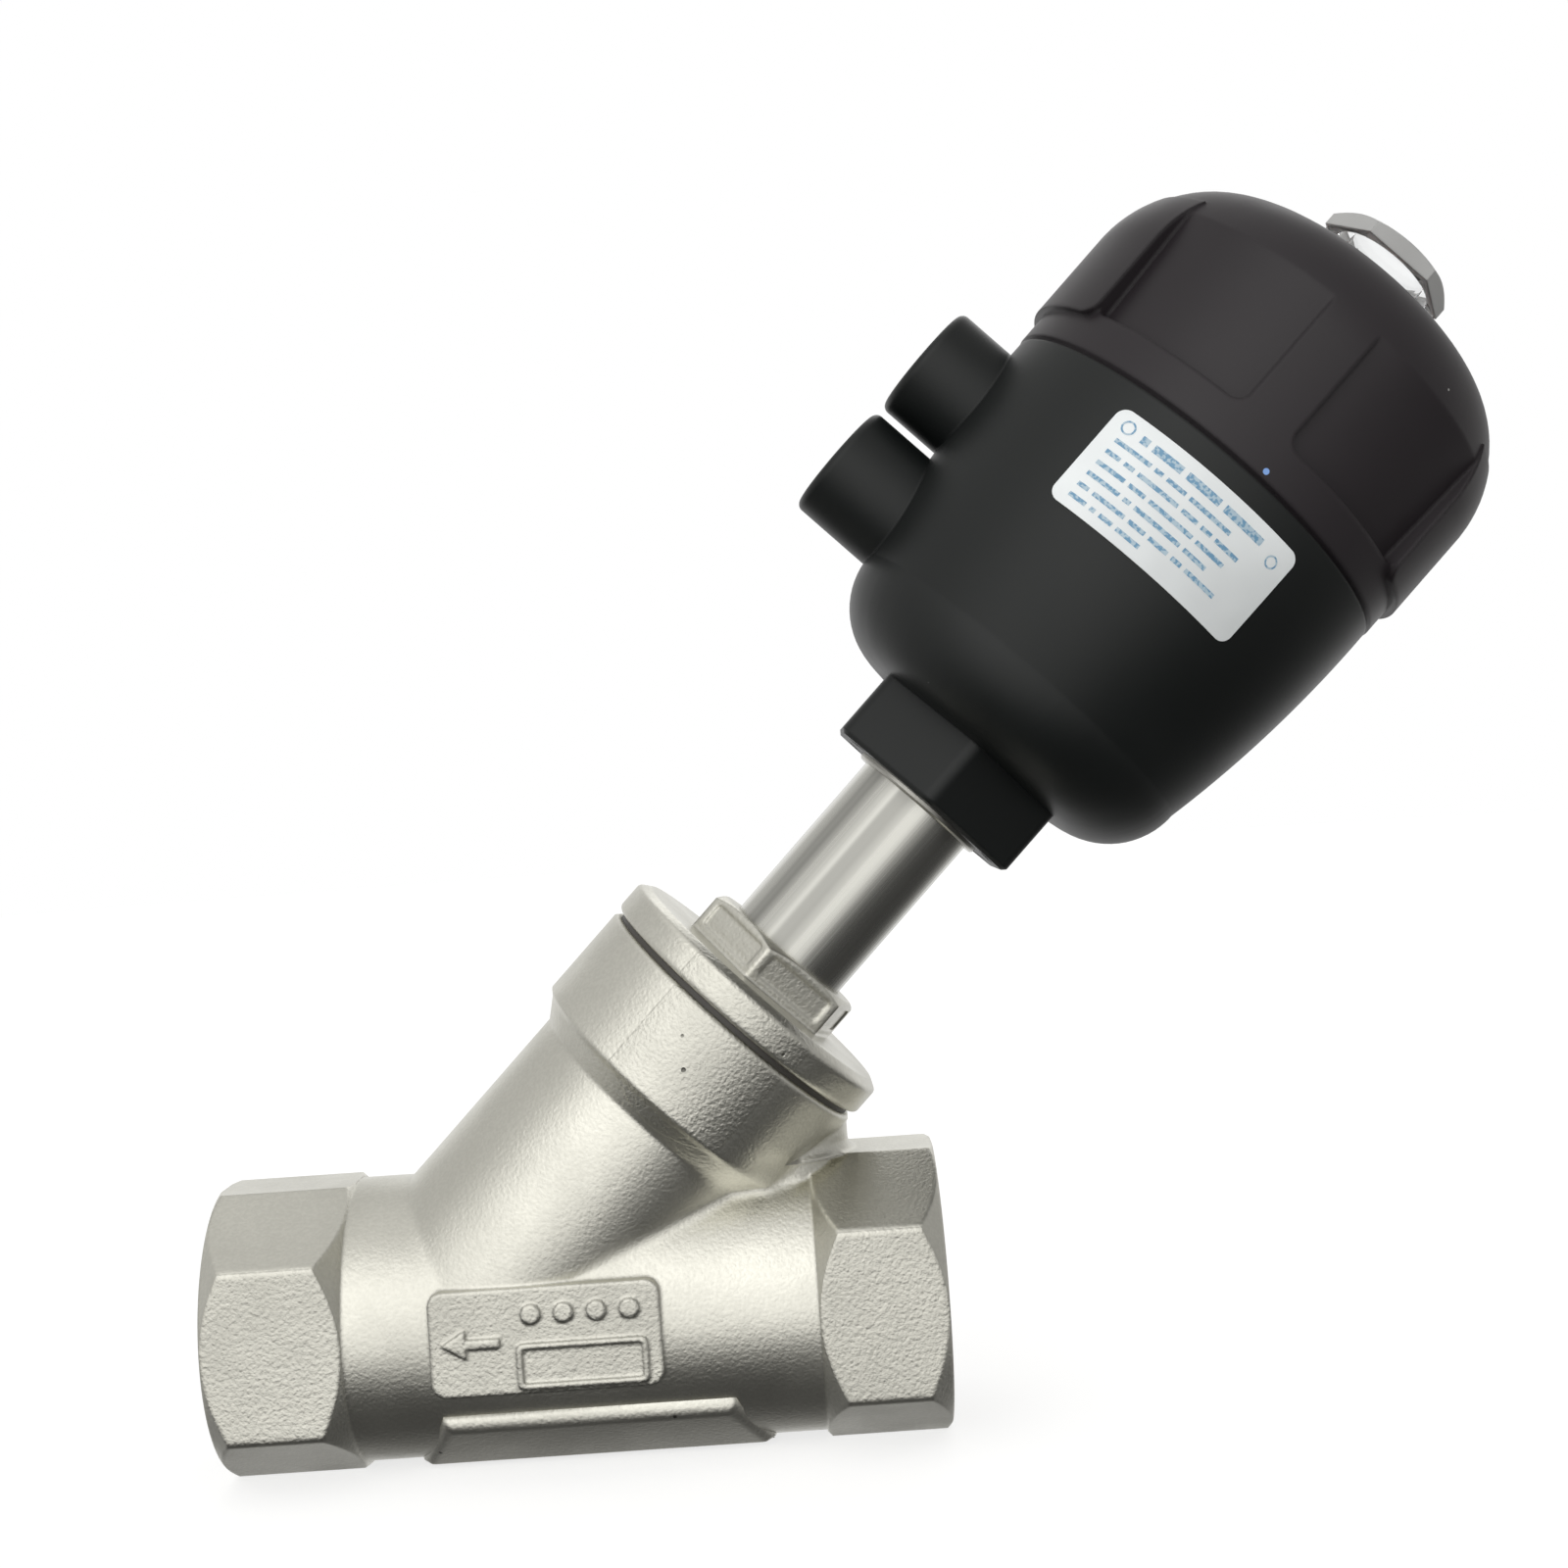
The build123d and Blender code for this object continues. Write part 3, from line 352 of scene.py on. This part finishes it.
def clear_finish(name, colour, roughness):
    """Clear moulded plastic."""
    material, tree, shader = new_finish(
        name, roughness, Transmission_Weight=1.0, IOR=1.03, Coat_Weight=0.5, Coat_Roughness=0.08
    )
    made = place_group(tree, MOULDING, Vector=object_point(tree), Texture=400.0, Specks=0.0)
    tone = blend_colour(tree, made["Cloud"], shade(colour), shade(colour, 0.97))
    tree.links.new(tone, shader["Base Color"])
    bump(tree, shader, made["Height"], 0.01 * MM)
    return material


finishes = {
    "casting": casting_finish("Blasted Casting", (0.69, 0.679, 0.612), (0.42, 0.413, 0.37)),
    "tube": drawn_finish(
        "Drawn Tube", (0.66, 0.655, 0.61), 0.27, across=1.0, along=0.012, lines=900.0,
        depth=0.05 * MM, low=0.45,
    ),
    "turned": drawn_finish(
        "Turned Steel", (0.68, 0.67, 0.62), 0.26, across=0.02, along=1.0, lines=1800.0,
        depth=0.03 * MM,
    ),
    "brass": drawn_finish(
        "Nickelled Brass", (0.62, 0.50, 0.28), 0.28, across=0.02, along=1.0, lines=1500.0,
        depth=0.02 * MM,
    ),
    "spring": drawn_finish(
        "Spring Wire", (0.30, 0.30, 0.31), 0.35, across=0.3, along=1.0, lines=1500.0,
        depth=0.02 * MM,
    ),
    "aluminium": drawn_finish(
        "Turned Aluminium", (0.66, 0.67, 0.68), 0.34, across=0.02, along=1.0, lines=1500.0,
        depth=0.02 * MM,
    ),
    "housing": plastic_finish(
        "Black Housing", (0.0062, 0.0076, 0.0074), 0.44, texture=2400.0, depth=0.01 * MM,
        rounding=0.7 * MM, Specular_IOR_Level=0.34,
    ),
    "cover": plastic_finish(
        "Black Cover", (0.0180, 0.0145, 0.0170), 0.44, texture=2400.0, depth=0.01 * MM,
        rounding=1.1 * MM, Specular_IOR_Level=0.34,
    ),
    "ptfe": plastic_finish(
        "White Fluoroplastic", (0.82, 0.82, 0.80), 0.42, texture=900.0, depth=0.01 * MM, specks=0.0
    ),
    "filled": plastic_finish(
        "Filled Fluoroplastic", (0.06, 0.056, 0.05), 0.5, texture=900.0, depth=0.01 * MM, specks=0.0
    ),
    "rubber": plastic_finish(
        "Black Rubber", (0.012, 0.012, 0.012), 0.62, texture=1500.0, depth=0.01 * MM, specks=0.0
    ),
    "orange": plastic_finish(
        "Orange Indicator", (0.70, 0.13, 0.015), 0.35, texture=900.0, depth=0.01 * MM, specks=0.0
    ),
    "label": plastic_finish(
        "Label Film", (0.78, 0.81, 0.82), 0.38, texture=500.0, depth=0.008 * MM, specks=0.0
    ),
    "paint": plastic_finish(
        "Blue Paint", (0.20, 0.36, 0.72), 0.4, texture=900.0, depth=0.004 * MM, specks=0.0
    ),
    "band": plastic_finish(
        "Grey Band", (0.40, 0.40, 0.395), 0.32, texture=700.0, depth=0.02 * MM, specks=0.0,
        rounding=0.5 * MM,
    ),
    "ink": print_finish("Blue Print", (0.17, 0.36, 0.55), (0.50, 0.64, 0.74)),
    "clear": clear_finish("Clear Cap", (0.975, 0.98, 0.98), 0.0),
}
by_slot = {
    "cast_stainless": "casting", "machined_stainless": "turned", "black_polyamide": "housing",
    "white_ptfe": "ptfe", "filled_ptfe": "filled", "black_rubber": "rubber",
    "brass_insert": "brass", "spring_steel": "spring", "cast_aluminium": "aluminium",
    "indicator_orange": "orange", "clear_polycarbonate": "clear", "grey_band": "band",
    "white_label": "label",
}
by_node = {"bonnet_tube": "tube", "actuator_cover": "cover"}     # these differ from their slot's


def dress(obj, finish):
    """Gives an object one finish all over."""
    obj.data.materials.clear()
    obj.data.materials.append(finishes[finish])


for part in frame["record"]["subparts"]:
    name = part["node"]
    dress(cad_nodes[name], by_node.get(name) or by_slot[part["material_slot"]])


# ---------------------------------------------------------------- new pieces
def new_piece(name, bm, body, finish):
    """Object from a finished bmesh in the model's frame, riding on a body."""
    bmesh.ops.recalc_face_normals(bm, faces=bm.faces)
    mesh = bpy.data.meshes.new(name)
    bm.to_mesh(mesh)
    bm.free()
    mesh.shade_smooth()
    obj = bpy.data.objects.new(name, mesh)
    bpy.context.scene.collection.objects.link(obj)
    dress(obj, finish)
    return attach(obj, body)


def cap_ends(bm):
    """Closes every open end with a face."""
    bmesh.ops.holes_fill(bm, edges=[e for e in bm.edges if e.is_boundary], sides=0)


def coil(bm, profile, pitch, turns, steps):
    """Sweeps (radius, height) corners of a closed wire along a helix about Z, in steps a turn."""
    corners = [bm.verts.new((r, 0, z)) for r, z in profile]
    ring = [bm.edges.new((a, b)) for a, b in zip(corners, corners[1:] + corners[:1])]
    bmesh.ops.spin(
        bm, geom=corners + ring, cent=(0, 0, 0), axis=(0, 0, 1), dvec=(0, 0, pitch / steps),
        angle=math.tau * turns, steps=round(turns * steps), use_merge=False,
        use_normal_flip=False, use_duplicate=False,
    )


# pipe threads, in millimetres: pitch, height of the ridge and depth of the thread
PIPE_THREAD = (2.309, 1.475, 20.9)
AIR_THREAD = (1.337, 0.86, 10.5)
RIDGE_FOOT, RIDGE_TIP = 0.46, 0.09      # half widths of the ridge, in pitches
RIDGE_ROOT = 0.1 * MM                   # how far the ridge goes into the wall
FACE_GAP, END_GAP = 0.3 * MM, 0.2 * MM  # plain stretch at the port's face and at the thread's end


def thread(port, sizes, body, finish):
    """Internal thread of a port: one ridge wound in from the face, with both ends cut off flat."""
    mount = mounts[port + "_port"]
    bore = mount["dims"]["r_mm"] * MM
    pitch, ridge, depth = (size * MM for size in sizes)
    foot, tip = pitch * RIDGE_FOOT, pitch * RIDGE_TIP
    wall, crest = bore + RIDGE_ROOT, bore - ridge
    bm = bmesh.new()
    profile = [(wall, -foot), (crest, -tip), (crest, tip), (wall, foot)]
    coil(bm, profile, pitch, depth / pitch + 1, 48)
    bmesh.ops.translate(bm, verts=bm.verts, vec=(0, 0, -pitch / 2))
    for level, way in ((FACE_GAP, -1), (depth - END_GAP, 1)):
        bmesh.ops.bisect_plane(
            bm, geom=bm.verts[:] + bm.edges[:] + bm.faces[:], plane_co=(0, 0, level),
            plane_no=(0, 0, way), clear_outer=True,
        )
        cap_ends(bm)
    bm.transform(placed(mount["pos_m"], -Vector(mount["axis"]), (0, 1, 0)))
    new_piece(port + "_thread", bm, body, finish)


for port in ("outlet", "inlet"):
    thread(port, PIPE_THREAD, "valve", "turned")
for port in ("control", "vent"):
    thread(port, AIR_THREAD, "actuator", "brass")

# cast boss, in millimetres
BOSS_LEAN = math.radians(52)      # of its face, below the front
BOSS_MIDDLE = 21.8                # along the pipe, from the stem's foot
BOSS_REACH = 24.3                 # from the pipe's axis to the foot of the skirt
BOSS_SHIFT = 0.2                  # up the slope, from the line that the lean gives
BOSS_LENGTH, BOSS_WIDTH, BOSS_DEPTH = 63.0, 16.8, 8.0
BOSS_TOP_SHARE = 0.8              # length of the upper side over the lower one
BOSS_SKIRT, BOSS_STEP, BOSS_EDGE = 2.1, 1.5, 0.7


def foot_boss():
    """Cast boss low on both flanks of the pipe: a flat face with a skirt that meets the pipe."""
    outward = Vector((0, -math.cos(BOSS_LEAN), -math.sin(BOSS_LEAN)))
    middle = Vector((STEM_FOOT.x + BOSS_MIDDLE * MM, 0, 0))
    size = Matrix.Diagonal((BOSS_LENGTH * MM, BOSS_WIDTH * MM, BOSS_DEPTH * MM, 1))
    place = Matrix.Translation((0, BOSS_SHIFT * MM, -BOSS_DEPTH / 2 * MM))
    bm = bmesh.new()
    bmesh.ops.create_cube(bm, size=1, matrix=place @ size)
    upper = [vert for vert in bm.verts if vert.co.y > 0]
    bmesh.ops.scale(bm, verts=upper, vec=(BOSS_TOP_SHARE, 1, 1))
    bm.normal_update()
    face = max(bm.faces, key=lambda f: f.normal.z)
    bmesh.ops.inset_individual(bm, faces=[face], thickness=BOSS_SKIRT * MM, depth=BOSS_STEP * MM)
    edges = {edge for vert in face.verts for edge in vert.link_edges}
    bmesh.ops.bevel(
        bm, geom=list(edges), offset=BOSS_EDGE * MM, segments=3, profile=0.5, affect="EDGES",
        material=-1,
    )
    bm.transform(placed(middle + outward * BOSS_REACH * MM, outward, (1, 0, 0)))
    whole = bm.verts[:] + bm.edges[:] + bm.faces[:]
    bmesh.ops.mirror(bm, geom=whole, merge_dist=0, axis="Y")
    new_piece("foot_boss", bm, "valve", "casting")


foot_boss()


def spring(name, node, turns):
    """Coil in the place of a plain spring, between the piston and its seat."""
    points = in_stem_frame(node)
    reaches = [math.hypot(point.x, point.y) for point in points]
    heights = [point.z for point in points]
    bottom, top = min(heights), max(heights)
    wire = (max(reaches) - min(reaches)) / 2
    radius = min(reaches) + wire
    corners = 14
    angles = [math.tau * k / corners for k in range(corners)]
    profile = [(radius + wire * math.cos(a), bottom + wire + wire * math.sin(a)) for a in angles]
    bm = bmesh.new()
    coil(bm, profile, (top - bottom - 2 * wire) / turns, turns, 40)
    cap_ends(bm)
    bm.transform(STEM)
    obj = new_piece(name, bm, "actuator", "spring")
    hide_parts(node)
    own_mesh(obj)


spring("outer_coil", "outer_spring", 7)
spring("inner_coil", "inner_spring", 9)


# ---------------------------------------------------------------- print on the label
# Each row of broken rules: height above the label's middle, height of the bars, and where each
# bar starts and ends across the label, all in millimetres.
ROWS = (
    (6.7, 1.4, (-13.4, -11.9), (-10.9, -5.0), (-3.9, 3.1), (4.2, 12.6)),
    (4.1, 0.8, (-16.6, -9.4), (-8.5, -6.9), (-6.0, -2.1), (-1.2, 7.6)),
    (1.8, 0.8, (-16.6, -13.8), (-12.9, -11.0), (-10.1, -1.8), (-0.9, 2.4), (3.3, 5.5), (6.4, 11.4)),
    (-0.5, 0.8, (-16.6, -11.0), (-10.1, -6.8), (-5.9, 3.3), (4.2, 10.2)),
    (-2.8, 0.8, (-16.6, -10.2), (-9.3, -7.9), (-7.0, 2.6), (3.5, 8.3)),
    (-5.1, 0.8, (-16.6, -14.5), (-13.6, -7.2), (-6.3, -2.9), (-2.0, 2.0), (2.9, 5.0), (5.9, 12.4)),
    (-7.3, 0.8, (-16.6, -13.3), (-12.4, -11.4), (-10.5, -7.9), (-7.0, -2.2)),
)
# Each ring: across, height above the label's middle, radius and width of its line.
RINGS = ((-16.2, 6.9, 1.25, 0.32), (15.9, 5.6, 1.15, 0.30))
BAR_STEP = 0.9 * MM       # longest flat stretch of a bar, so that it follows the round label
PRINT_LIFT = 0.03 * MM
IN_FRONT = -80 * MM
DOT_PLACE, DOT_RADIUS = (5.3, 15.6), 0.55


def surface_of(node):
    """Tree of a node's faces in the stem's own frame, for laying print on it."""
    bm = bmesh.new()
    bm.from_mesh(cad_nodes[node].data)
    bm.transform(STEM.inverted())
    tree = BVHTree.FromBMesh(bm)
    bm.free()
    return tree


def lay_on(bm, surface):
    """Drops flat print, drawn across and up the stem, onto the front of a surface."""
    for vert in bm.verts:
        above = Vector((vert.co.x, IN_FRONT, vert.co.z))
        hit = surface.ray_cast(above, Vector((0, 1, 0)))[0]
        vert.co.y = hit.y - PRINT_LIFT


def bar(bm, start, end, middle, height):
    """Ruled bar from one side to another at a height."""
    size = Matrix.Diagonal(((end - start) / 2, 1, height / 2, 1))
    place = Matrix.Translation(((start + end) / 2, 0, middle))
    count = max(2, round((end - start) / BAR_STEP))
    bmesh.ops.create_grid(
        bm, x_segments=count, y_segments=2, size=1, matrix=place @ size @ FACE_FRONT
    )


def ring_mark(bm, across, middle, radius, width):
    """Plain printed ring."""
    place = Matrix.Translation((across, 0, middle)) @ FACE_FRONT
    edges = set()
    for reach in (radius - width, radius):
        circle = bmesh.ops.create_circle(bm, segments=40, radius=reach, matrix=place)
        edges.update(edge for vert in circle["verts"] for edge in vert.link_edges)
    bmesh.ops.bridge_loops(bm, edges=list(edges))


def label_print(middle):
    """Plain broken rules and two rings, in place of any wording."""
    bm = bmesh.new()
    for row, height, *bars in ROWS:
        for start, end in bars:
            bar(bm, start * MM, end * MM, middle + row * MM, height * MM)
    for across, above, radius, width in RINGS:
        ring_mark(bm, across * MM, middle + above * MM, radius * MM, width * MM)
    lay_on(bm, surface_of("label"))
    bm.transform(STEM)
    new_piece("label_print", bm, "actuator", "ink")


def paint_dot(middle):
    """Small dot of paint on the cover, just above its seam."""
    across, above = DOT_PLACE
    place = Matrix.Translation((across * MM, 0, middle + above * MM)) @ FACE_FRONT
    bm = bmesh.new()
    bmesh.ops.create_circle(bm, cap_ends=True, segments=24, radius=DOT_RADIUS * MM, matrix=place)
    lay_on(bm, surface_of("actuator_cover"))
    bm.transform(STEM)
    new_piece("paint_dot", bm, "actuator", "paint")


label_heights = [point.z for point in in_stem_frame("label")]
label_middle = (min(label_heights) + max(label_heights)) / 2
label_print(label_middle)
paint_dot(label_middle)


# ---------------------------------------------------------------- camera, light and floor
LENS, FILM_WIDTH = 49.82, 36.0
CAMERA_PLACE = (105.87 * MM, -393.71 * MM, 91.28 * MM)
CAMERA_ROLL = math.radians(3.914)

# Surroundings that metal mirrors. They brighten with the direction's height, from a dark underside
# to a pale level, each given as that height (-1 down, 1 up) and a strength. Each patch has its
# direction, the cosines to it at which the patch starts and is full, and the strength it adds.
UNDERSIDE = (-0.66, 0.07)
LEVEL = (-0.08, 0.64)
BEHIND = ((0.0, 1.0, 0.0), 0.64, 0.95)
PATCHES = (
    ((-0.22, -0.95, 0.22), 0.49, 0.985, 0.80),
    (*BEHIND, 0.40),
    ((0.85, -0.20, 0.50), 0.45, 0.95, -0.22),
    ((0.0, -0.35, 0.94), 0.50, 0.95, 0.20),
    ((0.0, 0.86, -0.50), 0.60, 0.97, 0.26),
)
LAMP_POWER = 0.8
FLOOR_RADIUS = 3.0
FLOOR_GAP = 0.2 * MM
FLOOR_COLOUR = (0.42, 0.42, 0.415, 1)
FLOOR_GLOW = 0.72         # what the floor's own light lacks of the white backdrop
WHITE, BLACK = (1, 1, 1, 1), (0, 0, 0, 1)


def make_camera():
    """Level camera at the height of the hexagon under the actuator, rolled a little."""
    camera = bpy.data.objects.new("Camera", bpy.data.cameras.new("Camera"))
    camera.data.lens = LENS
    camera.data.sensor_width = FILM_WIDTH
    camera.location = CAMERA_PLACE
    camera.rotation_euler = (math.radians(90), CAMERA_ROLL, 0)
    bpy.context.scene.collection.objects.link(camera)
    bpy.context.scene.camera = camera


def toward(tree, direction, vector, start, end):
    """Mask that rises to 1 as the direction turns towards a vector."""
    inputs = {0: direction, 1: Vector(vector).normalized()}
    dot = add(tree, "VectorMath", inputs, operation="DOT_PRODUCT")
    return ramp(tree, dot.outputs["Value"], start, end)


def make_world():
    """Soft studio; camera, clear plastic and metal that faces the backdrop see it white."""
    world = bpy.data.worlds.new("Studio")
    bpy.context.scene.world = world
    world.use_nodes = True
    tree = world.node_tree
    tree.nodes.clear()
    direction = add(tree, "TexCoord").outputs["Generated"]
    height = add(tree, "SeparateXYZ", {0: direction}).outputs["Z"]
    level = ramp(tree, height, UNDERSIDE[0], LEVEL[0], UNDERSIDE[1], LEVEL[1])
    for *where, amount in PATCHES:
        patch = times(tree, toward(tree, direction, *where), amount)
        level = math_node(tree, "ADD", level, patch)
    path = add(tree, "LightPath").outputs
    backdrop = times(tree, path["Is Glossy Ray"], toward(tree, direction, *BEHIND))
    shown = math_node(tree, "MAXIMUM", path["Is Camera Ray"], path["Is Transmission Ray"])
    shown = math_node(tree, "MAXIMUM", shown, backdrop)
    soft = add(tree, "Background", {"Color": (1.0, 0.995, 0.98, 1), "Strength": level})
    white = add(tree, "Background", {"Color": WHITE, "Strength": 1.0})
    seen = add(tree, "MixShader", {0: shown, 1: soft.outputs[0], 2: white.outputs[0]})
    tree.links.new(seen.outputs[0], add(tree, "OutputWorld").inputs["Surface"])


def lamp(name, place, aim, size):
    """Square lamp that points at the object."""
    data = bpy.data.lights.new(name, "AREA")
    data.size = size
    data.energy = LAMP_POWER
    obj = bpy.data.objects.new(name, data)
    obj.location = place
    obj.rotation_euler = (aim - place).to_track_quat("-Z", "Y").to_euler()
    bpy.context.scene.collection.objects.link(obj)


def floor_finish():
    """Pale matt floor, lifted to the backdrop's white where it is seen, so that shadows stay."""
    material = bpy.data.materials.new("Pale Floor")
    material.use_nodes = True
    tree = material.node_tree
    tree.nodes.clear()
    lit = add(tree, "BsdfDiffuse", {"Color": FLOOR_COLOUR})
    glow = add(tree, "Emission", {"Color": WHITE, "Strength": FLOOR_GLOW})
    nothing = add(tree, "Emission", {"Color": BLACK, "Strength": 0.0})
    path = add(tree, "LightPath").outputs
    shown = math_node(tree, "MAXIMUM", path["Is Camera Ray"], path["Is Transmission Ray"])
    extra = add(tree, "MixShader", {0: shown, 1: nothing.outputs[0], 2: glow.outputs[0]})
    total = add(tree, "AddShader", {0: lit.outputs[0], 1: extra.outputs[0]})
    tree.links.new(total.outputs[0], add(tree, "OutputMaterial").inputs["Surface"])
    return material


def make_floor(middle, level):
    """Round floor just under the object; metal mirrors the dark underside instead of it."""
    bm = bmesh.new()
    bmesh.ops.create_circle(bm, cap_ends=True, segments=96, radius=FLOOR_RADIUS)
    bmesh.ops.translate(bm, verts=bm.verts, vec=(middle.x, middle.y, level - FLOOR_GAP))
    mesh = bpy.data.meshes.new("Floor")
    bm.to_mesh(mesh)
    bm.free()
    floor = bpy.data.objects.new("Floor", mesh)
    bpy.context.scene.collection.objects.link(floor)
    floor.visible_glossy = False
    floor.data.materials.append(floor_finish())


low, high = (Vector(corner) for corner in cad_bounds)
middle = (low + high) / 2
make_camera()
bpy.context.scene.view_settings.view_transform = "Standard"
make_world()
lamp("Key", middle + Vector((-0.35, -0.95, 0.55)), middle, 0.8)
lamp("Back", middle + Vector((0.3, 0.9, 0.7)), middle, 0.6)
make_floor(middle, low.z)
